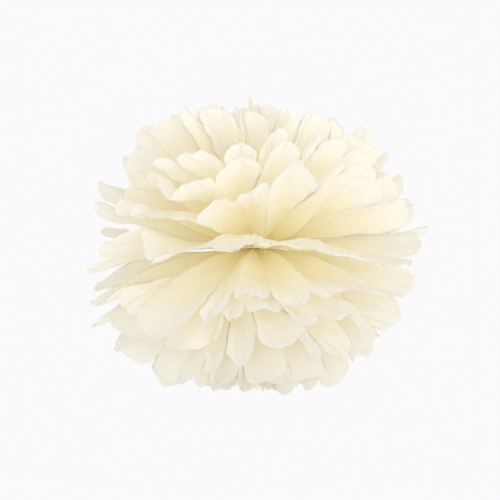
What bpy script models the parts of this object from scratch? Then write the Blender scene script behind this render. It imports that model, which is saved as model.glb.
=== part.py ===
"""Tissue paper pom pom: eleven sheets, pleated together, tied with wire and pulled apart.

Every sheet is one rectangle of tissue. It is folded like an accordion into equal panels whose
ends are cut round, and squeezed to a narrow neck at its middle by a loop of wire. The panels of
the front half then fan out over half a turn, those of the back half over the other half turn,
and each sheet is lifted or lowered to a slope of its own, so that the rounded panel ends make
a ball of petals.

A point of a sheet is given by its side, FRONT or BACK, and by two numbers: u counts panels from
the left edge, so that a whole number is a crease, and share runs from 0 at the neck to 1 at the
longest point of a petal. Metres, +Z up, origin at the middle of the neck. The front faces -Y.
"""

import math

import bmesh
import bpy
import numpy as np

# Driving sizes of the finished ball, in metres: the length of a middling petal from the neck, at
# the waist, at the top and at the bottom. The ball comes out about 250 mm wide and 220 mm high.
REACH = 0.1175
TOP_REACH = 0.0900
BOTTOM_REACH = 0.1015

# The paper. Its drawn thickness stands in for tissue of 0.03 mm.
PANEL_COUNT = 11
PAPER_THICKNESS = 0.0004
LAYER_GAP = 0.0004
NOTCH_DEPTH = 0.015
PETAL_ROUNDNESS = 2.3

# Slope of each sheet above the horizon, in degrees, from the top of the ball down.
SHEET_SLOPES = (71.0, 55.0, 42.0, 29.5, 17.0, 1.5, -13.0, -25.5, -40.0, -56.0, -74.0)

# Folds, in degrees of slope to either side of the sheet's own. All sheets were folded in one
# stack, so that the folds of each lie in those of the next. They flatten towards the tips. Near
# the poles they stay as deep as at the first share of the inner folds, and the level sheet's are
# drawn out to the second share.
FOLD_INSIDE = 7.5
FOLD_AT_TIP = 1.5
FOLD_AT_POLE_SHARE = 0.75
FOLD_AT_LEVEL_SHARE = 0.5

# Every petal is cupped: its middle bows up in the upper half of the ball and down in the lower
# half, by so many degrees on sheets at least as steep as the second value.
PETAL_CUP = 4.0
CUP_FULL_SLOPE = 15.0

# How unevenly the petals were pulled, in degrees: whole stacks, single creases, the middles of
# petals and their tips. Then how far a crease drifts, in panels, and how much the length of the
# petals differs, as a share.
STACK_LIFT = 3.0
CREASE_LIFT = 2.5
PETAL_CURL = 2.0
TIP_CURL = 2.0
CREASE_SHIFT_PANELS = 0.10
PETAL_LENGTH_SHARE = 0.055

# On steep sheets every other petal is pulled wide, its creases this much farther apart to
# either side, in panels, and the one between is tucked behind it.
PLEAT_SHIFT_PANELS = 0.30

# Steep sheets crowd round the poles, so their folds lie over, like those of a rose.
LEAN_START = 40.0
LEAN_END = 85.0
LEAN_ANGLE = 50.0

# The sheets leave the neck almost level and reach their slope over this share of the length.
NECK_SLOPE_SHARE = 0.30
NECK_BEND_SHARE = 0.12
END_PANEL_OPENING = 0.4

# Slow waves that bend the whole ball out of true: length of a wave and its height, in metres.
SWAY_WAVE = 0.150
SWAY_HEIGHT = 0.005

# The wire tie: one loop round the neck, its ends twisted together.
WIRE_DIAMETER = 0.0008
WIRE_CLEARANCE = 0.0003
TWIST_LENGTH = 0.012
TWIST_TURNS = 2.5
TWIST_CLEARANCE = 0.00015

# How finely the solids are drawn.
INNER_SHARES = (0.0, 0.07, 0.40)
OUTER_SHARE = 0.68
TIP_STEPS = (0.18, 0.50, 0.82)
WIRE_LOOP_STEPS = 20
WIRE_TWIST_STEPS = 12

SEED = 41

# Creases at the front that were pulled by hand, as the photo shows them, by sheet and crease:
# the slope at the edge in degrees and the place in panels. Then petals, by sheet and petal: the
# curl of the middle in degrees and how much longer it is, as a share. Last, how far some petals
# of the level sheet arch up before their edge, in degrees.
PULLED_CREASES = {
    0: {3: (74.0, 2.8), 4: (71.0, 4.5), 6: (71.0, 6.8), 7: (70.5, 7.2)},
    1: {0: (48.0, 0.0), 1: (60.0, 0.9), 2: (53.5, 2.7), 3: (56.0, 3.4), 4: (56.0, 5.15), 5: (56.0, 5.45),
        7: (58.0, 6.95), 8: (59.0, 8.45), 10: (50.0, 10.0), 11: (61.0, 11.0)},
    2: {0: (27.5, 0.0), 1: (40.0, 1.3), 2: (33.5, 2.35), 3: (32.5, 3.15), 4: (33.0, 4.5), 5: (34.0, 5.45),
        6: (42.0, 6.4), 7: (47.0, 7.0), 8: (48.0, 8.45), 10: (35.0, 10.0), 11: (48.0, 11.0)},
    3: {0: (17.0, 0.0), 1: (26.0, 0.9), 2: (27.5, 2.0), 3: (18.0, 3.35), 4: (26.5, 4.35), 5: (28.0, 5.55),
        6: (30.5, 6.5), 7: (37.0, 7.15), 8: (38.0, 8.3), 9: (27.0, 9.1), 10: (20.0, 10.0), 11: (33.0, 11.0)},
    4: {0: (12.0, 0.0), 1: (13.5, 1.0), 2: (19.5, 2.15), 3: (13.5, 2.6), 4: (11.0, 4.05), 5: (17.0, 4.95),
        6: (22.0, 5.7), 7: (18.0, 6.85), 8: (29.0, 7.7), 9: (16.5, 8.6), 10: (9.0, 9.9), 11: (19.0, 11.0)},
    5: {0: (-6.0, 0.0), 1: (-2.0, 0.9), 2: (11.0, 2.45), 3: (-4.5, 2.95), 4: (1.0, 3.95), 5: (-1.0, 5.15),
        6: (1.0, 5.9), 7: (-2.0, 6.85), 8: (-3.0, 7.75), 9: (-4.5, 8.9), 10: (-2.0, 10.0),
        11: (6.5, 11.0)},
    6: {0: (-17.0, 0.0), 1: (-14.0, 0.9), 3: (-21.0, 2.45), 4: (-18.5, 4.4), 5: (-17.5, 5.1), 6: (-18.0, 6.0),
        7: (-19.5, 7.0), 8: (-14.5, 7.9), 10: (-16.0, 10.0), 11: (-7.0, 11.0)},
    7: {0: (-22.5, 0.0), 1: (-20.5, 1.1), 2: (-33.0, 3.15), 3: (-37.5, 4.45), 4: (-22.5, 4.85),
        5: (-23.5, 5.4), 6: (-23.0, 6.3), 7: (-27.5, 7.3), 8: (-20.5, 8.4), 10: (-30.0, 10.0),
        11: (-19.0, 11.0)},
    8: {0: (-31.5, 0.0), 1: (-32.0, 0.9), 2: (-45.0, 1.9), 3: (-50.0, 3.9), 4: (-38.0, 4.8),
        5: (-34.0, 5.65), 6: (-29.5, 7.0), 7: (-46.0, 7.6), 9: (-36.0, 9.0), 10: (-43.0, 10.0),
        11: (-31.0, 11.0)},
    9: {0: (-60.0, 0.0), 1: (-49.0, 0.9), 10: (-60.0, 10.0), 11: (-47.0, 11.0)},
}
PULLED_PETALS = {
    0: {3: (0.0, 0.02), 6: (0.0, 0.09)},
    1: {0: (-4.0, -0.05), 2: (0.0, 0.05), 3: (-1.5, 0.0), 6: (0.0, -0.07), 7: (0.0, -0.05)},
    2: {0: (5.0, -0.05), 1: (-5.5, 0.0), 2: (-3.5, 0.03), 3: (0.0, 0.02), 4: (2.0, -0.03), 7: (0.0, 0.02)},
    3: {0: (0.0, -0.12), 1: (0.0, -0.10), 2: (3.0, 0.0), 3: (-4.0, 0.03), 4: (1.0, -0.04), 5: (2.5, 0.0),
        7: (-3.5, 0.0), 9: (0.0, -0.04), 10: (0.0, -0.06)},
    4: {0: (0.0, 0.05), 2: (-6.0, 0.0), 3: (-2.0, -0.02), 4: (0.0, -0.02), 5: (-4.0, -0.03), 6: (2.0, 0.02)},
    5: {0: (-1.0, 0.05), 2: (-0.5, -0.09), 4: (2.0, 0.0), 5: (0.5, 0.0), 6: (-2.0, 0.0), 7: (-2.0, 0.02),
        8: (0.5, 0.0), 10: (0.0, -0.03)},
    6: {0: (0.0, 0.04), 3: (-4.5, 0.06), 4: (1.0, 0.0), 5: (6.0, 0.0), 6: (1.0, -0.02), 7: (5.0, 0.0),
        8: (4.0, 0.04), 10: (0.0, -0.03)},
    7: {0: (0.0, 0.06), 2: (7.0, 0.0), 3: (0.0, -0.12), 4: (3.5, -0.04), 5: (6.5, 0.0),
        6: (-1.0, 0.0), 7: (2.5, 0.0)},
    8: {1: (6.0, 0.0), 4: (-2.0, 0.03), 5: (-2.0, 0.0), 9: (1.0, -0.06), 10: (1.0, -0.06)},
}
ARCHED_PETALS = {5: {4: 5.0, 5: 4.0, 6: 1.5, 7: 4.0, 8: 2.0}}

TISSUE_COLOUR = (0.90, 0.85, 0.69, 1.0)
WIRE_COLOUR = (0.62, 0.62, 0.60, 1.0)

FRONT, BACK = -1.0, 1.0
LAYER_PITCH = PAPER_THICKNESS + LAYER_GAP
STACK_HALF = (len(SHEET_SLOPES) * LAYER_PITCH - LAYER_GAP) / 2
NECK_RADIUS = STACK_HALF + LAYER_PITCH
TWIST_RADIUS = WIRE_DIAMETER + TWIST_CLEARANCE / 2
NECK_HALF_LENGTH = TWIST_RADIUS + WIRE_CLEARANCE + PAPER_THICKNESS


def clear_scene():
    """Empties the scene."""
    for obj in list(bpy.data.objects):
        bpy.data.objects.remove(obj, do_unlink=True)


def paper_material():
    """Cream tissue: matt, a little sheen, not metallic."""
    material = bpy.data.materials.new("cream_tissue")
    material.use_nodes = True
    shader = material.node_tree.nodes["Principled BSDF"]
    shader.inputs["Base Color"].default_value = TISSUE_COLOUR
    shader.inputs["Roughness"].default_value = 0.85
    shader.inputs["Metallic"].default_value = 0.0
    return material


def wire_material():
    """Thin galvanised wire."""
    material = bpy.data.materials.new("galvanised_wire")
    material.use_nodes = True
    shader = material.node_tree.nodes["Principled BSDF"]
    shader.inputs["Base Color"].default_value = WIRE_COLOUR
    shader.inputs["Roughness"].default_value = 0.35
    shader.inputs["Metallic"].default_value = 1.0
    return material


def ramp(x, low, high):
    """A smooth step from 0 at low to 1 at high."""
    t = np.clip((x - low) / (high - low), 0.0, 1.0)
    return t * t * (3.0 - 2.0 * t)


def fold_at(sheet, share):
    """How far the creases stand to either side of the sheet's slope, in degrees: less towards
    the edge, except on steep sheets, and less on the level sheet."""
    fold = FOLD_INSIDE + (FOLD_AT_TIP - FOLD_INSIDE) * ramp(share, 0.35, 1.0)
    steepness = math.sin(math.radians(SHEET_SLOPES[sheet])) ** 2
    fold = fold + (FOLD_AT_POLE_SHARE * FOLD_INSIDE - fold) * steepness
    tilted = min(abs(SHEET_SLOPES[sheet]) / CUP_FULL_SLOPE, 1.0)
    return fold * (FOLD_AT_LEVEL_SHARE + (1.0 - FOLD_AT_LEVEL_SHARE) * tilted)


def cup_of(sheet):
    """How far the middle of every petal bows away from level, in degrees."""
    return PETAL_CUP * float(np.clip(SHEET_SLOPES[sheet] / CUP_FULL_SLOPE, -1.0, 1.0))


def pleat_shift(sheet, side):
    """How far each crease lies off its even place, in panels, so that every other petal of a
    steep sheet is wide. The wide ones are those that the lean opens further."""
    slope = math.radians(SHEET_SLOPES[sheet])
    every_other = (-1.0) ** np.arange(PANEL_COUNT + 1)
    return -side * math.copysign(PLEAT_SHIFT_PANELS, slope) * math.sin(slope) ** 2 * every_other


def crease_values(sheet, side):
    """For each crease of half a sheet: its lift in degrees and its drift in panels. Part of the
    lift and the drift is the same for all the sheets of the stack. The end creases don't drift."""
    own = np.random.default_rng((SEED, sheet, side == FRONT))
    stack = np.random.default_rng((SEED, side == FRONT))
    lift = CREASE_LIFT * own.uniform(-1.0, 1.0, PANEL_COUNT + 1)
    lift += STACK_LIFT * stack.uniform(-1.0, 1.0, PANEL_COUNT + 1)
    drift = CREASE_SHIFT_PANELS * own.uniform(-1.0, 1.0, PANEL_COUNT + 1)
    drift += CREASE_SHIFT_PANELS * stack.uniform(-1.0, 1.0, PANEL_COUNT + 1)
    drift += pleat_shift(sheet, side)
    drift[[0, -1]] = 0.0
    if side == FRONT:
        for crease, (slope, place) in PULLED_CREASES.get(sheet, {}).items():
            lift[crease] = slope - SHEET_SLOPES[sheet] - fold_at(sheet, 1.0) * -((-1.0) ** crease)
            drift[crease] = place - crease
    return lift, drift


def petal_values(sheet, side):
    """For each petal of half a sheet: the curl of its middle in degrees, how much longer or
    shorter it is, as a share, and the curl of its tip in degrees."""
    draw = np.random.default_rng((SEED, sheet, side == FRONT, PANEL_COUNT))
    curl = PETAL_CURL * draw.uniform(-1.0, 1.0, PANEL_COUNT)
    longer = PETAL_LENGTH_SHARE * draw.uniform(-1.0, 1.0, PANEL_COUNT)
    tip = TIP_CURL * draw.uniform(-1.0, 1.0, PANEL_COUNT)
    if side == FRONT:
        for petal, (curled, grown) in PULLED_PETALS.get(sheet, {}).items():
            curl[petal], longer[petal] = curled, grown
    return curl, longer, tip


def arch_values(sheet, side):
    """How far each petal arches up before its edge, in degrees."""
    arch = np.zeros(PANEL_COUNT)
    if side == FRONT:
        for petal, degrees in ARCHED_PETALS.get(sheet, {}).items():
            arch[petal] = degrees
    return arch


def along_creases(values, u):
    """Values given at the creases, read across the panels at u."""
    return np.interp(u, np.arange(PANEL_COUNT + 1), values)


def along_petals(values, u):
    """Values given at the middles of the petals, read across the panels at u."""
    return np.interp(u, np.arange(PANEL_COUNT) + 0.5, values)


def neck_height(sheet):
    """Where the sheet lies in the flat stack inside the wire."""
    return ((len(SHEET_SLOPES) - 1) / 2 - sheet) * LAYER_PITCH


def neck_half_width(sheet):
    """Half the width of the squeezed sheet, so that the stack fills a round neck."""
    height = abs(neck_height(sheet)) + PAPER_THICKNESS / 2
    return math.sqrt(NECK_RADIUS**2 - height**2)


def sway(points):
    """Moves points by slow sine waves that grow with the distance from the neck."""
    distance = np.linalg.norm(points, axis=-1, keepdims=True)
    grow = np.clip(distance / REACH, 0.0, 1.0) ** 2
    turn = 2.0 * math.pi / SWAY_WAVE
    x, y, z = points[..., 0], points[..., 1], points[..., 2]
    moved = np.stack(
        [
            np.sin(turn * (0.8 * z + 0.4 * y) + 1.3),
            np.sin(turn * (0.7 * x - 0.5 * z) + 4.1),
            np.sin(turn * (0.75 * x + 0.55 * y) + 2.6),
        ],
        axis=-1,
    )
    return points + SWAY_HEIGHT * grow * moved


def sheet_points(sheet, side, u, share):
    """Points of one sheet's middle surface.

    Each point lies at the distance r = reach * share from its place at the neck's end, in a
    direction given by a slope and by a turn that runs from 0 at -X to 180 degrees at +X. The
    slope is the sheet's own plus a zigzag that changes sign at every crease, the lift of the
    creases, and the curl, cup, arch and tip of the petals. The turn follows u and the drift of
    the creases, and where the sheet is steep it is carried on with the slope, so that the folds
    lie over.
    """
    u, share = np.broadcast_arrays(np.asarray(u, float), np.asarray(share, float))
    lifts, drifts = crease_values(sheet, side)
    curls, lengths, tips = petal_values(sheet, side)
    panel = np.minimum(u, PANEL_COUNT - 0.5).astype(int)
    zigzag = 1.0 - 2.0 * np.abs(u % 2.0 - 1.0)
    middle = 1.0 - (2.0 * (u % 1.0) - 1.0) ** 2
    slope = SHEET_SLOPES[sheet] + fold_at(sheet, share) * zigzag
    slope = slope + along_creases(lifts, u) * ramp(share, 0.1, 0.9)
    slope = slope + along_petals(curls, u) * middle * ramp(share, 0.5, 1.0)
    slope = slope + cup_of(sheet) * middle * ramp(share, 0.1, 0.6)
    arched = ramp(share, 0.30, 0.68) - ramp(share, 0.68, 0.87)
    slope = slope + along_petals(arch_values(sheet, side), u) * arched
    slope = slope + tips[panel] * middle * ramp(share, 0.72, 1.0) ** 2
    risen = 1.0 - (1.0 - NECK_SLOPE_SHARE) * np.exp(-share / NECK_BEND_SHARE)
    slope = slope * risen

    turn = (u + along_creases(drifts, u) * ramp(share, 0.2, 0.9)) / PANEL_COUNT
    turn = np.radians(END_PANEL_OPENING + (180.0 - 2.0 * END_PANEL_OPENING) * turn)
    lean = np.clip((np.abs(slope) - LEAN_START) / (LEAN_END - LEAN_START), 0.0, 1.0) ** 2
    turn = turn + math.radians(LEAN_ANGLE) * side * lean * np.sin(turn)

    slope = np.radians(slope)
    pole_reach = np.where(slope > 0.0, TOP_REACH, BOTTOM_REACH)
    reach = REACH + (pole_reach - REACH) * np.sin(slope) ** 8
    r = reach * share * (1.0 + along_petals(lengths, u) * share**2)
    parting = NECK_HALF_LENGTH * (1.0 - ramp(share, 0.2, 0.6))
    neck_x = neck_half_width(sheet) * (2.0 * u / PANEL_COUNT - 1.0)
    points = np.stack(
        [
            neck_x - r * np.cos(slope) * np.cos(turn),
            side * (parting + r * np.cos(slope) * np.sin(turn)),
            neck_height(sheet) + r * np.sin(slope),
        ],
        axis=-1,
    )
    return sway(points)


def petal_outline(v):
    """How far a panel reaches, as a share of the half length, at v across it: short at the
    creases and rounded out to 1 in the middle."""
    notch = NOTCH_DEPTH / REACH
    across = np.abs(2.0 * np.asarray(v, float) - 1.0)
    return 1.0 - notch + notch * (1.0 - across**PETAL_ROUNDNESS) ** (1.0 / PETAL_ROUNDNESS)


def tissue_sheet(sheet, name, material):
    """One pleated sheet. Each panel is one column of faces near the neck and two farther out,
    and its rounded end is a fan of faces. The paper's thickness lies to either side."""
    creases = np.arange(PANEL_COUNT + 1)
    halves = np.arange(2 * PANEL_COUNT + 1) / 2.0
    notch_share = float(petal_outline(0.0))
    v = np.array(TIP_STEPS)
    body = bmesh.new()

    def row(side, u, share):
        return [body.verts.new(p) for p in sheet_points(sheet, side, u, share)]

    necks = []
    for side in (FRONT, BACK):
        inner = [row(side, creases, share) for share in INNER_SHARES]
        outer = [row(side, halves, share) for share in (OUTER_SHARE, notch_share)]
        necks.append(inner[0])
        for k in range(PANEL_COUNT):
            for low, high in zip(inner[:-1], inner[1:]):
                body.faces.new((low[k], low[k + 1], high[k + 1], high[k]))
            left, middle, right = outer[0][2 * k : 2 * k + 3]
            body.faces.new((inner[-1][k], inner[-1][k + 1], middle))
            body.faces.new((inner[-1][k], middle, left))
            body.faces.new((inner[-1][k + 1], right, middle))
            left_end, middle_end, right_end = outer[1][2 * k : 2 * k + 3]
            body.faces.new((left, middle, middle_end, left_end))
            body.faces.new((middle, right, right_end, middle_end))
            ring = [left_end, *row(side, k + v, petal_outline(v)), right_end]
            for a, b in zip(ring[:-1], ring[1:]):
                body.faces.new((middle_end, b, a))
    for k in range(PANEL_COUNT):
        body.faces.new((necks[0][k], necks[0][k + 1], necks[1][k + 1], necks[1][k]))
    bmesh.ops.recalc_face_normals(body, faces=body.faces)
    mesh = bpy.data.meshes.new(name)
    body.to_mesh(mesh)
    body.free()
    mesh.materials.append(material)
    paper = bpy.data.objects.new(name, mesh)
    bpy.context.scene.collection.objects.link(paper)
    thick = paper.modifiers.new("paper_thickness", "SOLIDIFY")
    thick.thickness = PAPER_THICKNESS
    thick.offset = 0.0
    return paper


def wire_route():
    """Points along the wire: up one strand of the twist, round the neck and down the other.

    The loop is a circle round the neck in the plane that parts the two halves of the fan. The
    strands leave it at one side and wind round each other as a double helix.
    """
    radius = NECK_RADIUS + WIRE_CLEARANCE + WIRE_DIAMETER / 2
    spread = (WIRE_DIAMETER + TWIST_CLEARANCE) / 2
    opening = math.asin(spread / radius)
    turns = np.linspace(1.0, 0.0, WIRE_TWIST_STEPS, endpoint=False)
    angle = 2.0 * math.pi * TWIST_TURNS * turns
    along = radius + TWIST_LENGTH * turns
    strand = np.stack([along, spread * np.sin(angle), spread * np.cos(angle)], axis=-1)
    around = np.linspace(opening, 2.0 * math.pi - opening, WIRE_LOOP_STEPS + 1)
    loop = np.stack([radius * np.cos(around), 0.0 * around, radius * np.sin(around)], axis=-1)
    other = strand[::-1] * np.array([1.0, -1.0, -1.0])
    return np.concatenate([strand, loop, other])


def tie_wire(material):
    """The wire as a round tube along its route, with closed ends."""
    line = bpy.data.curves.new("tie_wire", "CURVE")
    line.dimensions = "3D"
    line.bevel_depth = WIRE_DIAMETER / 2
    line.bevel_resolution = 1
    line.use_fill_caps = True
    route = wire_route()
    spline = line.splines.new("POLY")
    spline.points.add(len(route) - 1)
    for point, place in zip(spline.points, route):
        point.co = (*place, 1.0)
    line.materials.append(material)
    wire = bpy.data.objects.new("tie_wire", line)
    bpy.context.scene.collection.objects.link(wire)
    return wire


def main():
    clear_scene()
    tissue = paper_material()
    for sheet in range(len(SHEET_SLOPES)):
        tissue_sheet(sheet, f"tissue_sheet_{sheet + 1:02d}", tissue)
    tie_wire(wire_material())


main()
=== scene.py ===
"""Dresses the tissue paper pom pom: eleven pleated sheets of cream tissue and their wire tie.

Each sheet is worked out again here on a fine grid, from the same sizes and the same formula as
its solid, and gets soft creases, ruffled petal ends and the creasing of crumpled tissue. A point
of a sheet is given by its side, FRONT or BACK, and by two numbers: u counts panels from the left
edge, so that a whole number is a crease, and share runs from 0 at the neck to 1 at the longest
point of a petal. Metres, +Z up, the photo is taken from -Y.
"""

import math

import bpy
import numpy as np
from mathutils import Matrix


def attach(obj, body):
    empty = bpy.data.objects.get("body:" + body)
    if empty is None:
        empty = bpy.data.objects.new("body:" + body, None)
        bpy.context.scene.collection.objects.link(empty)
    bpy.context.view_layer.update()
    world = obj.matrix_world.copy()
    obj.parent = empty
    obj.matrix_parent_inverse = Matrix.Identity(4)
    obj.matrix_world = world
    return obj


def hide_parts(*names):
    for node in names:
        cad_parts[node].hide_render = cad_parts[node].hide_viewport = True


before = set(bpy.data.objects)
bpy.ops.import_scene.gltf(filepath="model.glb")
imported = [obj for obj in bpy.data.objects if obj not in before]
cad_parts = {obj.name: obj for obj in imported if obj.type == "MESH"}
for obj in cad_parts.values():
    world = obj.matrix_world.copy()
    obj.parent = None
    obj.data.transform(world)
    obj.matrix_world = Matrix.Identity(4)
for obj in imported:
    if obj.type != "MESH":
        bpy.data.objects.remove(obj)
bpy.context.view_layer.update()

# The sizes of the solids come first: lengths in metres, slopes and lifts in degrees.
# Length of a middling petal from the neck, at the waist, at the top and at the bottom. It turns
# from the first to the others late, by a power of the sine of the slope.
REACH = 0.1175
TOP_REACH = 0.0900
BOTTOM_REACH = 0.1015
POLE_POWER = 8

# The folded stack. Every panel's end is cut round, and the notch between two ends is so deep.
PANEL_COUNT = 11
SOLID_PAPER = 0.0004
LAYER_GAP = 0.0004
NOTCH_DEPTH = 0.015
PETAL_ROUNDNESS = 2.3

# Slope of each sheet above the horizon, from the top of the ball down.
SHEET_SLOPES = (71.0, 55.0, 42.0, 29.5, 17.0, 1.5, -13.0, -25.5, -40.0, -56.0, -74.0)

# Folds, in degrees to either side of the sheet's slope, and how deep they stay at the poles and
# on the level sheet, as shares.
FOLD_INSIDE = 7.5
FOLD_AT_TIP = 1.5
FOLD_AT_POLE_SHARE = 0.75
FOLD_AT_LEVEL_SHARE = 0.5

# How far the middle of every petal bows, on sheets at least as steep as the second value.
PETAL_CUP = 4.0
CUP_FULL_SLOPE = 15.0

# How unevenly whole stacks, single creases, the middles of petals and their tips were pulled.
STACK_LIFT = 3.0
CREASE_LIFT = 2.5
PETAL_CURL = 2.0
TIP_CURL = 2.0

# How far creases drift, how wide every other petal of a steep sheet is pulled, in panels, and
# how much the length of the petals differs, as a share.
CREASE_SHIFT_PANELS = 0.10
PLEAT_SHIFT_PANELS = 0.30
PETAL_LENGTH_SHARE = 0.055

# Where the folds of steep sheets begin to lie over, where they lie over fully, and how far.
LEAN_START = 40.0
LEAN_END = 85.0
LEAN_ANGLE = 50.0

# The sheets leave the neck almost level and reach their slope over a share of the length. Half
# of the neck's length leaves room for the wire. The fan of each half stops so many degrees short
# of a half turn at either end.
NECK_SLOPE_SHARE = 0.30
NECK_BEND_SHARE = 0.12
NECK_HALF_LENGTH = 0.001575
END_PANEL_OPENING = 0.4

# Slow waves that bend the whole ball. Each moves one axis and follows x, y and z by its row of
# the directions, from its phase in radians.
SWAY_WAVE = 0.150
SWAY_HEIGHT = 0.005
SWAY_DIRECTIONS = ((0.0, 0.4, 0.8), (0.7, 0.0, -0.5), (0.75, 0.55, 0.0))
SWAY_PHASES = (1.3, 4.1, 2.6)

# The stretch of a petal's length, from 0 at the neck to 1 at its end, over which each part of
# its form comes in or goes.
FOLD_FLATTENS = (0.35, 1.0)
LIFT_GROWS = (0.1, 0.9)
DRIFT_GROWS = (0.2, 0.9)
CUP_GROWS = (0.1, 0.6)
CURL_GROWS = (0.5, 1.0)
TIP_CURLS = (0.72, 1.0)
ARCH_RISES = (0.30, 0.68)
ARCH_FALLS = (0.68, 0.87)
PARTING_CLOSES = (0.2, 0.6)
CREASE_SOFTENS = (0.3, 1.0)
RUFFLE_GROWS = (0.55, 1.0)
WRINKLE_GROWS = (0.1, 0.5)

# Seeds of the chance values: of the solids, of the ruffle and wrinkles, and of the creasing.
SEED = 41
FINE_SEED = 50
CRUMPLE_SEED = 16

# Creases at the front that were pulled by hand, as the photo shows them, by sheet and crease:
# the slope at the edge in degrees and the place in panels. Then petals, by sheet and petal: the
# curl of the middle in degrees and how much longer it is, as a share. Last, how far some petals
# of the level sheet arch up before their edge, in degrees.
PULLED_CREASES = {
    0: {3: (74.0, 2.8), 4: (71.0, 4.5), 6: (71.0, 6.8), 7: (70.5, 7.2)},
    1: {0: (48.0, 0.0), 1: (60.0, 0.9), 2: (53.5, 2.7), 3: (56.0, 3.4), 4: (56.0, 5.15), 5: (56.0, 5.45),
        7: (58.0, 6.95), 8: (59.0, 8.45), 10: (50.0, 10.0), 11: (61.0, 11.0)},
    2: {0: (27.5, 0.0), 1: (40.0, 1.3), 2: (33.5, 2.35), 3: (32.5, 3.15), 4: (33.0, 4.5), 5: (34.0, 5.45),
        6: (42.0, 6.4), 7: (47.0, 7.0), 8: (48.0, 8.45), 10: (35.0, 10.0), 11: (48.0, 11.0)},
    3: {0: (17.0, 0.0), 1: (26.0, 0.9), 2: (27.5, 2.0), 3: (18.0, 3.35), 4: (26.5, 4.35),
        5: (28.0, 5.55), 6: (30.5, 6.5), 7: (37.0, 7.15), 8: (38.0, 8.3), 9: (27.0, 9.1),
        10: (20.0, 10.0), 11: (33.0, 11.0)},
    4: {0: (12.0, 0.0), 1: (13.5, 1.0), 2: (19.5, 2.15), 3: (13.5, 2.6), 4: (11.0, 4.05),
        5: (17.0, 4.95), 6: (22.0, 5.7), 7: (18.0, 6.85), 8: (29.0, 7.7), 9: (16.5, 8.6),
        10: (9.0, 9.9), 11: (19.0, 11.0)},
    5: {0: (-6.0, 0.0), 1: (-2.0, 0.9), 2: (11.0, 2.45), 3: (-4.5, 2.95), 4: (1.0, 3.95), 5: (-1.0, 5.15),
        6: (1.0, 5.9), 7: (-2.0, 6.85), 8: (-3.0, 7.75), 9: (-4.5, 8.9), 10: (-2.0, 10.0),
        11: (6.5, 11.0)},
    6: {0: (-17.0, 0.0), 1: (-14.0, 0.9), 3: (-21.0, 2.45), 4: (-18.5, 4.4), 5: (-17.5, 5.1),
        6: (-18.0, 6.0), 7: (-19.5, 7.0), 8: (-14.5, 7.9), 10: (-16.0, 10.0), 11: (-7.0, 11.0)},
    7: {0: (-22.5, 0.0), 1: (-20.5, 1.1), 2: (-33.0, 3.15), 3: (-37.5, 4.45), 4: (-22.5, 4.85),
        5: (-23.5, 5.4), 6: (-23.0, 6.3), 7: (-27.5, 7.3), 8: (-20.5, 8.4), 10: (-30.0, 10.0),
        11: (-19.0, 11.0)},
    8: {0: (-31.5, 0.0), 1: (-32.0, 0.9), 2: (-45.0, 1.9), 3: (-50.0, 3.9), 4: (-38.0, 4.8),
        5: (-34.0, 5.65), 6: (-29.5, 7.0), 7: (-46.0, 7.6), 9: (-36.0, 9.0), 10: (-43.0, 10.0),
        11: (-31.0, 11.0)},
    9: {0: (-60.0, 0.0), 1: (-49.0, 0.9), 10: (-60.0, 10.0), 11: (-47.0, 11.0)},
}
PULLED_PETALS = {
    0: {3: (0.0, 0.02), 6: (0.0, 0.09)},
    1: {0: (-4.0, -0.05), 2: (0.0, 0.05), 3: (-1.5, 0.0), 6: (0.0, -0.07), 7: (0.0, -0.05)},
    2: {0: (5.0, -0.05), 1: (-5.5, 0.0), 2: (-3.5, 0.03), 3: (0.0, 0.02), 4: (2.0, -0.03), 7: (0.0, 0.02)},
    3: {0: (0.0, -0.12), 1: (0.0, -0.10), 2: (3.0, 0.0), 3: (-4.0, 0.03), 4: (1.0, -0.04), 5: (2.5, 0.0),
        7: (-3.5, 0.0), 9: (0.0, -0.04), 10: (0.0, -0.06)},
    4: {0: (0.0, 0.05), 2: (-6.0, 0.0), 3: (-2.0, -0.02), 4: (0.0, -0.02), 5: (-4.0, -0.03),
        6: (2.0, 0.02)},
    5: {0: (-1.0, 0.05), 2: (-0.5, -0.09), 4: (2.0, 0.0), 5: (0.5, 0.0), 6: (-2.0, 0.0), 7: (-2.0, 0.02),
        8: (0.5, 0.0), 10: (0.0, -0.03)},
    6: {0: (0.0, 0.04), 3: (-4.5, 0.06), 4: (1.0, 0.0), 5: (6.0, 0.0), 6: (1.0, -0.02), 7: (5.0, 0.0),
        8: (4.0, 0.04), 10: (0.0, -0.03)},
    7: {0: (0.0, 0.06), 2: (7.0, 0.0), 3: (0.0, -0.12), 4: (3.5, -0.04), 5: (6.5, 0.0),
        6: (-1.0, 0.0), 7: (2.5, 0.0)},
    8: {1: (6.0, 0.0), 4: (-2.0, 0.03), 5: (-2.0, 0.0), 9: (1.0, -0.06), 10: (1.0, -0.06)},
}
ARCHED_PETALS = {5: {4: 5.0, 5: 4.0, 6: 1.5, 7: 4.0, 8: 2.0}}

# What the fine sheets add. The paper is drawn thinner than in the solids. The creases are so
# sharp at the neck and at the edge, where 1 is a plain zigzag, and each sheet stays so many
# degrees above the next one down.
PAPER_THICKNESS = 0.0002
CREASE_SHARPNESS = (0.9995, 0.965)
LEAST_GAP = 1.2

# The ruffle of a petal's end, in degrees of slope. Each of its two sine waves has a count across
# the petal, a sideways drift from the neck to the edge, in waves, and a share of the height.
RUFFLE = 0.5
RUFFLE_WAVES = ((1.5, 0.6, 1.0), (2.6, -1.1, 0.6))

# The wrinkles that run along a petal, in degrees of slope: their count, how far they wander to
# either side, in waves, and how quickly, in radians from the neck to the edge.
WRINKLE = 0.32
WRINKLE_COUNT = 3.7
WRINKLE_WANDER = 0.5
WRINKLE_BENDS = 9.0

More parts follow.
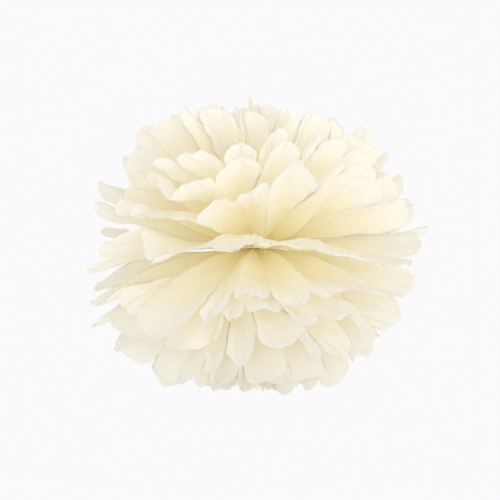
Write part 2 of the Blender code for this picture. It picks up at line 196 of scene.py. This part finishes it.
# The creasing of the crumpled tissue, in metres: height and count of its waves, their shortest
# and longest length, and the distances from the neck at which they begin and are full.
CRUMPLE = 0.0006
CRUMPLE_COUNT = 14
CRUMPLE_LENGTHS = (0.009, 0.030)
CRUMPLE_GROWS = (0.02, 0.07)

# Grid of half a sheet: columns across each panel, rows from the neck to the tips, and how far
# the rows crowd together near both. The rows bend to the notches only near the edge, by a power
# of their distance.
COLUMNS = 16
ROWS = 50
ROW_CROWDING = 0.09
NOTCH_POWER = 8

# The two creams of thin and thick pulp, near the tie and at the tips. Those near the tie are
# deeper and yellower: painted shade, for the light that passes many times between the close
# layers there. Then the shares of the length between which the one turns into the other, and the
# share of light that passes through. The wire's zinc is mottled between two greys.
SHADED_INNER_CREAMS = ((0.999, 0.987, 0.921, 1.0), (0.998, 0.980, 0.900, 1.0))
TIP_CREAMS = ((0.999, 0.990, 0.959, 1.0), (0.998, 0.985, 0.944, 1.0))
CREAM_TURNS = (0.30, 0.90)
LIGHT_THROUGH = 0.70
DARK_ZINC = (0.50, 0.50, 0.49, 1.0)
LIGHT_ZINC = (0.72, 0.72, 0.71, 1.0)

# The studio. The floor lies below the hanging ball. It fades into the background between two
# distances from the middle of the ball, from the first share of white to the second. The soft
# lamps have a place, a side in metres and a power in watts. Light passes through many layers of
# paper before it is lost.
WHITE = (0.956, 0.956, 0.956, 1.0)
DAYLIGHT = (0.960, 0.980, 1.0)
SURROUNDINGS = 0.85
FLOOR_DROP = 0.30
FLOOR_RADIUS = 0.62
FLOOR_FADES = (0.36, 0.62)
FLOOR_WHITENESS = (0.35, 1.0)
FLOOR_RINGS = 24
FLOOR_SPOKES = 97
LAMPS = {"front": ((0.30, -1.42, -0.15), 1.2, 7.9), "key": ((0.7, -0.9, 1.1), 0.9, 0.25)}
LIGHT_BOUNCES = 60

# The photo's view: the camera's distance from the place that it looks at, its elevation in
# degrees, the width that it takes in there, that place, and the sensor's width in millimetres.
CAMERA_DISTANCE = 1.2
CAMERA_ELEVATION = 0.5
FRAME_WIDTH = 0.371
AIM = (-0.0037, 0.0, -0.0022)
SENSOR_WIDTH = 36.0

FRONT, BACK = -1.0, 1.0
TURN = 2.0 * np.pi
SHEET_COUNT = len(SHEET_SLOPES)
LAYER_PITCH = SOLID_PAPER + LAYER_GAP
STACK_HALF = (SHEET_COUNT * LAYER_PITCH - LAYER_GAP) / 2
NECK_RADIUS = STACK_HALF + LAYER_PITCH


def ramp(x, low, high):
    """A smooth step from 0 at low to 1 at high."""
    t = np.clip((x - low) / (high - low), 0.0, 1.0)
    return t * t * (3.0 - 2.0 * t)


def fold_at(sheet, share):
    """How far the creases stand to either side of the sheet's slope, in degrees: less towards
    the edge, except on steep sheets, and less on the level sheet."""
    fold = FOLD_INSIDE + (FOLD_AT_TIP - FOLD_INSIDE) * ramp(share, *FOLD_FLATTENS)
    steepness = math.sin(math.radians(SHEET_SLOPES[sheet])) ** 2
    fold = fold + (FOLD_AT_POLE_SHARE * FOLD_INSIDE - fold) * steepness
    tilted = min(abs(SHEET_SLOPES[sheet]) / CUP_FULL_SLOPE, 1.0)
    return fold * (FOLD_AT_LEVEL_SHARE + (1.0 - FOLD_AT_LEVEL_SHARE) * tilted)


def cup_of(sheet):
    """How far the middle of every petal bows away from level, in degrees."""
    return PETAL_CUP * float(np.clip(SHEET_SLOPES[sheet] / CUP_FULL_SLOPE, -1.0, 1.0))


def pleat_shift(sheet, side):
    """How far each crease lies off its even place, in panels: every other petal of a steep sheet
    is pulled wide, and the one between is tucked behind it."""
    slope = math.radians(SHEET_SLOPES[sheet])
    every_other = (-1.0) ** np.arange(PANEL_COUNT + 1)
    return -side * math.copysign(PLEAT_SHIFT_PANELS, slope) * math.sin(slope) ** 2 * every_other


def crease_values(sheet, side):
    """For each crease: its lift in degrees and its drift in panels. Part of both is the same for
    all the sheets of the stack. The end creases don't drift."""
    own = np.random.default_rng((SEED, sheet, side == FRONT))
    stack = np.random.default_rng((SEED, side == FRONT))
    lift = CREASE_LIFT * own.uniform(-1.0, 1.0, PANEL_COUNT + 1)
    lift += STACK_LIFT * stack.uniform(-1.0, 1.0, PANEL_COUNT + 1)
    drift = CREASE_SHIFT_PANELS * own.uniform(-1.0, 1.0, PANEL_COUNT + 1)
    drift += CREASE_SHIFT_PANELS * stack.uniform(-1.0, 1.0, PANEL_COUNT + 1)
    drift += pleat_shift(sheet, side)
    drift[[0, -1]] = 0.0
    if side == FRONT:
        for crease, (slope, place) in PULLED_CREASES.get(sheet, {}).items():
            lift[crease] = slope - SHEET_SLOPES[sheet] - fold_at(sheet, 1.0) * -((-1.0) ** crease)
            drift[crease] = place - crease
    return lift, drift


def petal_values(sheet, side):
    """For each petal: the curl of its middle in degrees, how much longer or shorter it is, as a
    share, and the curl of its tip in degrees."""
    draw = np.random.default_rng((SEED, sheet, side == FRONT, PANEL_COUNT))
    curl = PETAL_CURL * draw.uniform(-1.0, 1.0, PANEL_COUNT)
    longer = PETAL_LENGTH_SHARE * draw.uniform(-1.0, 1.0, PANEL_COUNT)
    tip = TIP_CURL * draw.uniform(-1.0, 1.0, PANEL_COUNT)
    if side == FRONT:
        for petal, (curled, grown) in PULLED_PETALS.get(sheet, {}).items():
            curl[petal], longer[petal] = curled, grown
    return curl, longer, tip


def fine_phases(sheet, side):
    """For each petal, the phases of its two ruffle waves and of its wrinkles, in turns."""
    draw = np.random.default_rng((SEED, sheet, side == FRONT, FINE_SEED))
    return draw.uniform(0.0, 1.0, (len(RUFFLE_WAVES) + 1, PANEL_COUNT))


def arch_values(sheet, side):
    """How far each petal arches up before its edge, in degrees."""
    arch = np.zeros(PANEL_COUNT)
    if side == FRONT:
        for petal, degrees in ARCHED_PETALS.get(sheet, {}).items():
            arch[petal] = degrees
    return arch


def along_creases(values, u):
    """Values given at the creases, read across the panels at u."""
    return np.interp(u, np.arange(PANEL_COUNT + 1), values)


def along_petals(values, u):
    """Values given at the middles of the petals, read across the panels at u."""
    return np.interp(u, np.arange(PANEL_COUNT) + 0.5, values)


def soft_zigzag(u, sharpness):
    """-1 at even creases and 1 at odd ones. It is the arcsine of a cosine, so that its corners
    get rounder as the sharpness falls below 1."""
    return np.arcsin(-sharpness * np.cos(np.pi * u)) / np.arcsin(sharpness)


def half_grid():
    """u and t over half a sheet: u counts panels, t runs from 0 at the neck to 1 at the edge,
    closer together near the neck and near the edge."""
    u = np.linspace(0.0, PANEL_COUNT, PANEL_COUNT * COLUMNS + 1)
    row = np.linspace(0.0, 1.0, ROWS)
    t = row - ROW_CROWDING * np.sin(TURN * row)
    return np.meshgrid(u, t)


def petal_outline(u):
    """How far a panel reaches, as a share: short at the creases, rounded out to 1 between."""
    notch = NOTCH_DEPTH / REACH
    across = np.abs(2.0 * (u % 1.0) - 1.0)
    return 1.0 - notch + notch * (1.0 - across**PETAL_ROUNDNESS) ** (1.0 / PETAL_ROUNDNESS)


def share_of(u, t):
    """The share of the full length at t: t itself, less the part of the notch at u, which grows
    with a high power of t. Rows are even inside and follow the outline at the edge."""
    return t - (1.0 - petal_outline(u)) * t**NOTCH_POWER


def ruffle(v, share, phases):
    """A sum of sine waves across a petal, where v runs from 0 to 1, which drift sideways on their
    way to its edge."""
    return sum(
        height * np.sin(TURN * (count * v + phase + drift * share))
        for (count, drift, height), phase in zip(RUFFLE_WAVES, phases)
    )


def wrinkle(v, share, phase):
    """A sine wave across a petal that wanders from side to side on its way to the edge."""
    wander = WRINKLE_WANDER * np.sin(WRINKLE_BENDS * share)
    return np.sin(TURN * (WRINKLE_COUNT * v + phase + wander))


def slope_of(sheet, side, u, share):
    """Slope in degrees at each point, before the rise from the neck: the sheet's own, the folds,
    the lifted creases, and the curl, cup, arch and curled tip of the petals, as in the solids.
    The ruffle and the wrinkles come on top. They are 0 at the creases."""
    lifts, _ = crease_values(sheet, side)
    curls, _, tips = petal_values(sheet, side)
    inner, outer = CREASE_SHARPNESS
    sharpness = inner + (outer - inner) * ramp(share, *CREASE_SOFTENS)
    middle = 1.0 - (2.0 * (u % 1.0) - 1.0) ** 2
    panel = np.minimum(u.astype(int), PANEL_COUNT - 1)
    slope = SHEET_SLOPES[sheet] + fold_at(sheet, share) * soft_zigzag(u, sharpness)
    slope = slope + along_creases(lifts, u) * ramp(share, *LIFT_GROWS)
    slope = slope + along_petals(curls, u) * middle * ramp(share, *CURL_GROWS)
    slope = slope + cup_of(sheet) * middle * ramp(share, *CUP_GROWS)
    arched = ramp(share, *ARCH_RISES) - ramp(share, *ARCH_FALLS)
    slope = slope + along_petals(arch_values(sheet, side), u) * arched
    slope = slope + tips[panel] * middle * ramp(share, *TIP_CURLS) ** 2
    v = u - panel
    off_creases = np.sin(np.pi * v)
    *ruffled, wrinkled = fine_phases(sheet, side)[:, panel]
    slope = slope + RUFFLE * ruffle(v, share, ruffled) * off_creases * ramp(share, *RUFFLE_GROWS)
    return slope + WRINKLE * wrinkle(v, share, wrinkled) * off_creases * ramp(share, *WRINKLE_GROWS)


def parted(slopes, gap):
    """Slopes of all sheets, top to bottom, with each held at least a gap above the next one
    down: a running maximum of slope plus gap, from the bottom up."""
    steps = gap * np.arange(len(slopes))[:, None, None]
    lifted = np.maximum.accumulate((slopes + steps)[::-1], axis=0)[::-1]
    return lifted - steps


def neck_height(sheet):
    """Where the sheet lies in the flat stack inside the wire."""
    return ((SHEET_COUNT - 1) / 2 - sheet) * LAYER_PITCH


def neck_half_width(sheet):
    """Half the width of the squeezed sheet, so that the stack fills a round neck."""
    height = abs(neck_height(sheet)) + SOLID_PAPER / 2
    return math.sqrt(NECK_RADIUS**2 - height**2)


def sway(points):
    """Moves points by slow sine waves, one for each axis, that grow with the distance from the
    neck."""
    distance = np.linalg.norm(points, axis=-1, keepdims=True)
    grow = np.clip(distance / REACH, 0.0, 1.0) ** 2
    along = points @ np.array(SWAY_DIRECTIONS).T
    return points + SWAY_HEIGHT * grow * np.sin(TURN / SWAY_WAVE * along + SWAY_PHASES)


def crumple(points):
    """Moves points by short sine waves of chance directions and lengths, as in tissue that was
    crumpled and smoothed."""
    draw = np.random.default_rng((SEED, CRUMPLE_SEED))
    directions = draw.normal(size=(CRUMPLE_COUNT, 3))
    directions /= np.linalg.norm(directions, axis=1, keepdims=True)
    lengths = draw.uniform(*CRUMPLE_LENGTHS, CRUMPLE_COUNT)
    phases = draw.uniform(0.0, TURN, CRUMPLE_COUNT)
    moves = draw.normal(size=(CRUMPLE_COUNT, 3))
    waves = np.sin(TURN * (points @ directions.T) / lengths + phases)
    weight = ramp(np.linalg.norm(points, axis=-1, keepdims=True), *CRUMPLE_GROWS)
    return points + CRUMPLE * weight * (waves @ moves) / math.sqrt(CRUMPLE_COUNT)


def half_points(sheet, side, u, share, slope):
    """Places of half a sheet. Each lies at the distance r = reach * share from the neck's end,
    at its slope, turned about the vertical from -X to +X as u grows. The turn follows the drift
    of the creases, and where the sheet is steep it is carried on, so that the folds lie over."""
    _, drifts = crease_values(sheet, side)
    _, lengths, _ = petal_values(sheet, side)
    risen = 1.0 - (1.0 - NECK_SLOPE_SHARE) * np.exp(-share / NECK_BEND_SHARE)
    slope = slope * risen
    turn = (u + along_creases(drifts, u) * ramp(share, *DRIFT_GROWS)) / PANEL_COUNT
    turn = np.radians(END_PANEL_OPENING + (180.0 - 2.0 * END_PANEL_OPENING) * turn)
    lean = np.clip((np.abs(slope) - LEAN_START) / (LEAN_END - LEAN_START), 0.0, 1.0) ** 2
    turn = turn + math.radians(LEAN_ANGLE) * side * lean * np.sin(turn)
    slope = np.radians(slope)
    pole_reach = np.where(slope > 0.0, TOP_REACH, BOTTOM_REACH)
    reach = REACH + (pole_reach - REACH) * np.sin(slope) ** POLE_POWER
    r = reach * share * (1.0 + along_petals(lengths, u) * share**2)
    parting = NECK_HALF_LENGTH * (1.0 - ramp(share, *PARTING_CLOSES))
    x = neck_half_width(sheet) * (2.0 * u / PANEL_COUNT - 1.0) - r * np.cos(slope) * np.cos(turn)
    y = side * (parting + r * np.cos(slope) * np.sin(turn))
    z = neck_height(sheet) + r * np.sin(slope)
    return crumple(sway(np.stack([x, y, z], axis=-1)))


def all_sheets():
    """Points of every sheet as a grid that runs from the front edge through the neck to the
    back edge."""
    u, t = half_grid()
    share = share_of(u, t)
    halves = []
    for side in (FRONT, BACK):
        slopes = np.stack([slope_of(k, side, u, share) for k in range(SHEET_COUNT)])
        slopes = parted(slopes, LEAST_GAP)
        halves.append([half_points(k, side, u, share, slopes[k]) for k in range(SHEET_COUNT)])
    return [np.concatenate([front[::-1], back]) for front, back in zip(*halves)]


def grid_faces(rows, columns):
    """Corner numbers of the quads between the points of a grid."""
    corner = np.arange((rows - 1) * columns).reshape(rows - 1, columns)[:, :-1].ravel()
    return np.stack([corner, corner + 1, corner + columns + 1, corner + columns], axis=1)


def surface(name, points, uv, material):
    """A mesh object of a grid of points, smooth shaded, with a UV map of its own grid values."""
    rows, columns, _ = points.shape
    faces = grid_faces(rows, columns)
    mesh = bpy.data.meshes.new(name)
    mesh.from_pydata(points.reshape(-1, 3), [], faces)
    mesh.shade_smooth()
    layer = mesh.uv_layers.new(name="sheet")
    layer.data.foreach_set("uv", uv.reshape(-1, 2)[faces.ravel()].astype(np.float32).ravel())
    mesh.materials.append(material)
    piece = bpy.data.objects.new(name, mesh)
    bpy.context.scene.collection.objects.link(piece)
    return piece


class Nodes:
    """Short hand for the node tree of a material or a world."""

    def __init__(self, owner, output="ShaderNodeOutputMaterial"):
        owner.use_nodes = True
        self.tree = owner.node_tree
        self.tree.nodes.clear()
        self.surface = self.add(output).inputs["Surface"]

    def add(self, kind, *inputs, **named):
        """A new node. Inputs go into its sockets in their order, those named with a capital go
        into the socket of that name, and the other names are settings of the node itself."""
        node = self.tree.nodes.new(kind)
        for key, value in named.items():
            if key[0].islower():
                setattr(node, key, value)
        for socket, value in zip(node.inputs, inputs):
            self.fill(socket, value)
        for key, value in named.items():
            if key[0].isupper():
                self.fill(node.inputs[key.replace("_", " ")], value)
        return node

    def fill(self, socket, value):
        """Links a socket to another node's output, or gives it a value of its own."""
        if isinstance(value, bpy.types.NodeSocket):
            self.tree.links.new(value, socket)
        else:
            socket.default_value = value

    def calculated(self, operation, *values):
        """The result of a calculation on numbers."""
        return self.add("ShaderNodeMath", *values, operation=operation).outputs[0]

    def mixed(self, share, first, second):
        """A colour between two others."""
        mix = self.add("ShaderNodeMix", data_type="RGBA", Factor=share, A=first, B=second)
        return mix.outputs["Result"]

    def bumped(self, height, distance, strength, **below):
        """A surface raised by a pattern, by some metres, over the surface below if there is one."""
        bump = self.add(
            "ShaderNodeBump", Height=height, Distance=distance, Strength=strength, **below
        )
        return bump.outputs["Normal"]

    def blended(self, share, first, second):
        """A mix of two shaders: the first where the share is 0, the second where it is 1."""
        return self.add("ShaderNodeMixShader", share, first.outputs[0], second.outputs[0])

    def show(self, shader):
        """Makes the shader what the material or the world looks like."""
        self.tree.links.new(shader.outputs[0], self.surface)


def tissue_paper():
    """Cream tissue, matt and thin enough for light to pass. It is deeper and yellower towards the
    tie, as painted shade for the light that passes many times between the close layers there, with
    faint clouds of thicker pulp. Its surface has fibres, the small creases of crumpled paper and
    fine wrinkles that run from the tie to the tips."""
    tissue = bpy.data.materials.new("tissue_paper")
    n = Nodes(tissue)
    place = n.add("ShaderNodeTexCoord").outputs
    pulp = n.add("ShaderNodeTexNoise", place["Object"], Scale=38.0, Detail=4.0).outputs["Fac"]
    along = n.add("ShaderNodeSeparateXYZ", place["UV"]).outputs["Y"]
    away = n.calculated("ABSOLUTE", along)
    # Painted shade: the cream turns deeper and yellower towards the tie, where the layers lie close.
    low, high = CREAM_TURNS
    towards_tip = n.add("ShaderNodeMapRange", Value=away, From_Min=low, From_Max=high)
    inner = n.mixed(pulp, *SHADED_INNER_CREAMS)
    tip = n.mixed(pulp, *TIP_CREAMS)
    cream = n.mixed(towards_tip.outputs["Result"], inner, tip)

    fibres = n.add("ShaderNodeTexNoise", place["Object"], Scale=900.0, Detail=2.0)
    creases = n.add(
        "ShaderNodeTexVoronoi", place["Object"], feature="DISTANCE_TO_EDGE", Scale=85.0
    )
    stretched = n.add("ShaderNodeMapping", place["UV"], Scale=(7.0, 1.4, 1.0)).outputs[0]
    radial = n.add("ShaderNodeTexNoise", stretched, Scale=1.0, Detail=3.0)
    fibrous = n.bumped(fibres.outputs["Fac"], 0.0002, 0.10)
    creased = n.bumped(creases.outputs["Distance"], 0.0012, 0.10, Normal=fibrous)
    wrinkled = n.bumped(radial.outputs["Fac"], 0.0010, 0.45, Normal=creased)

    matt = n.add(
        "ShaderNodeBsdfPrincipled",
        Base_Color=cream,
        Roughness=0.85,
        Specular_IOR_Level=0.02,
        Normal=wrinkled,
    )
    through = n.add("ShaderNodeBsdfTranslucent", Color=cream, Normal=wrinkled)
    n.show(n.blended(LIGHT_THROUGH, matt, through))
    return tissue


def galvanised_wire():
    """Thin zinc coated wire with a mottled, slightly dull surface."""
    zinc = bpy.data.materials.new("galvanised_wire")
    n = Nodes(zinc)
    place = n.add("ShaderNodeTexCoord").outputs["Object"]
    mottle = n.add("ShaderNodeTexNoise", place, Scale=1400.0, Detail=3.0).outputs["Fac"]
    tone = n.mixed(mottle, DARK_ZINC, LIGHT_ZINC)
    dull = n.add("ShaderNodeMapRange", Value=mottle, To_Min=0.28, To_Max=0.48).outputs["Result"]
    n.show(n.add("ShaderNodeBsdfPrincipled", Base_Color=tone, Roughness=dull, Metallic=1.0))
    return zinc


def seen_directly(n):
    """1 where a ray comes from the camera, off a glossy surface or through one, otherwise 0."""
    ray = n.add("ShaderNodeLightPath").outputs
    first = n.calculated("MAXIMUM", ray["Is Camera Ray"], ray["Is Glossy Ray"])
    return n.calculated("MAXIMUM", first, ray["Is Transmission Ray"])


def pale_floor():
    """A matt pale floor that keeps the soft shadow under the ball and fades into the white
    background towards its rim."""
    finish = bpy.data.materials.new("pale_floor")
    n = Nodes(finish)
    place = n.add("ShaderNodeTexCoord").outputs["Object"]
    away = n.add("ShaderNodeVectorMath", place, operation="LENGTH").outputs["Value"]
    near, far = FLOOR_FADES
    least, most = FLOOR_WHITENESS
    fade = n.add(
        "ShaderNodeMapRange",
        Value=away,
        From_Min=near,
        From_Max=far,
        To_Min=least,
        To_Max=most,
        interpolation_type="SMOOTHSTEP",
    )
    share = n.calculated("MULTIPLY", fade.outputs["Result"], seen_directly(n))
    matt = n.add("ShaderNodeBsdfPrincipled", Base_Color=(0.95, 0.95, 0.95, 1.0), Roughness=0.9)
    glow = n.add("ShaderNodeEmission", Color=WHITE, Strength=1.0)
    n.show(n.blended(share, matt, glow))
    return finish


def lay_floor():
    """A round floor below the hanging ball: rings of points out from the middle."""
    turn = np.linspace(TURN, 0.0, FLOOR_SPOKES)
    away = np.linspace(0.0, FLOOR_RADIUS, FLOOR_RINGS)[:, None]
    x = away * np.cos(turn)
    points = np.stack([x, away * np.sin(turn), np.full_like(x, -FLOOR_DROP)], axis=-1)
    floor = surface("floor", points, points[..., :2], pale_floor())


def aim(thing, target):
    """Turns a lamp or camera to look at a place, with its top side up."""
    x, y, z = np.subtract(target, thing.location)
    tilt = math.pi / 2 + math.atan2(z, math.hypot(x, y))
    thing.rotation_euler = (tilt, 0.0, math.atan2(y, x) - math.pi / 2)


def soft_box(name, place, size, power):
    """A large square lamp aimed at the middle of the ball."""
    lamp = bpy.data.lights.new(name, "AREA")
    lamp.shape = "SQUARE"
    lamp.size = size
    lamp.energy = power
    lamp.color = DAYLIGHT
    light = bpy.data.objects.new(name, lamp)
    light.location = place
    bpy.context.scene.collection.objects.link(light)
    aim(light, (0.0, 0.0, 0.0))


def light_studio():
    """White surroundings and two soft lamps. Seen directly, the surroundings are the photo's
    near white background."""
    studio = bpy.data.worlds.new("studio")
    bpy.context.scene.world = studio
    n = Nodes(studio, "ShaderNodeOutputWorld")
    around = n.add("ShaderNodeBackground", Color=(*DAYLIGHT, 1.0), Strength=SURROUNDINGS)
    behind = n.add("ShaderNodeBackground", Color=WHITE, Strength=1.0)
    n.show(n.blended(seen_directly(n), around, behind))
    for name, (place, size, power) in LAMPS.items():
        soft_box(name, place, size, power)


def place_camera():
    """The photo's view: from -Y, slightly above level, with the ball a little up and right."""
    camera = bpy.data.cameras.new("camera")
    camera.sensor_width = SENSOR_WIDTH
    camera.lens = SENSOR_WIDTH * CAMERA_DISTANCE / FRAME_WIDTH
    view = bpy.data.objects.new("camera", camera)
    height = math.radians(CAMERA_ELEVATION)
    view.location = (
        AIM[0],
        -CAMERA_DISTANCE * math.cos(height),
        AIM[2] + CAMERA_DISTANCE * math.sin(height),
    )
    bpy.context.scene.collection.objects.link(view)
    aim(view, AIM)
    bpy.context.scene.camera = view


def dress_sheets():
    """Replaces each sheet's solid by its fine surface, given the paper's thickness. The shading
    follows the flat of the paper and not its thin rim."""
    tissue = tissue_paper()
    u, t = half_grid()
    length = np.concatenate([-t[::-1], t])
    uv = np.stack([np.concatenate([u, u]), length], axis=-1)
    for number, points in enumerate(all_sheets(), start=1):
        sheet = surface(f"tissue_{number:02d}", points, uv, tissue)
        thick = sheet.modifiers.new("paper_thickness", "SOLIDIFY")
        thick.thickness = PAPER_THICKNESS
        thick.offset = 0.0
        even = sheet.modifiers.new("rim_shading", "WEIGHTED_NORMAL")
        even.weight = 100
        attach(sheet, "root")
        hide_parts(f"tissue_sheet_{number:02d}")


def dress_wire():
    """Gives the wire tie its finish."""
    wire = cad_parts["tie_wire"]
    wire.data.materials.clear()
    wire.data.materials.append(galvanised_wire())


def keep_colours_plain():
    """Colours render as they are written, and light bounces enough to come through the sheets."""
    scene = bpy.context.scene
    scene.view_settings.view_transform = "Standard"
    scene.cycles.max_bounces = LIGHT_BOUNCES
    scene.cycles.diffuse_bounces = LIGHT_BOUNCES
    scene.cycles.transmission_bounces = LIGHT_BOUNCES


def main():
    place_camera()
    dress_sheets()
    dress_wire()
    light_studio()
    lay_floor()
    keep_colours_plain()


main()
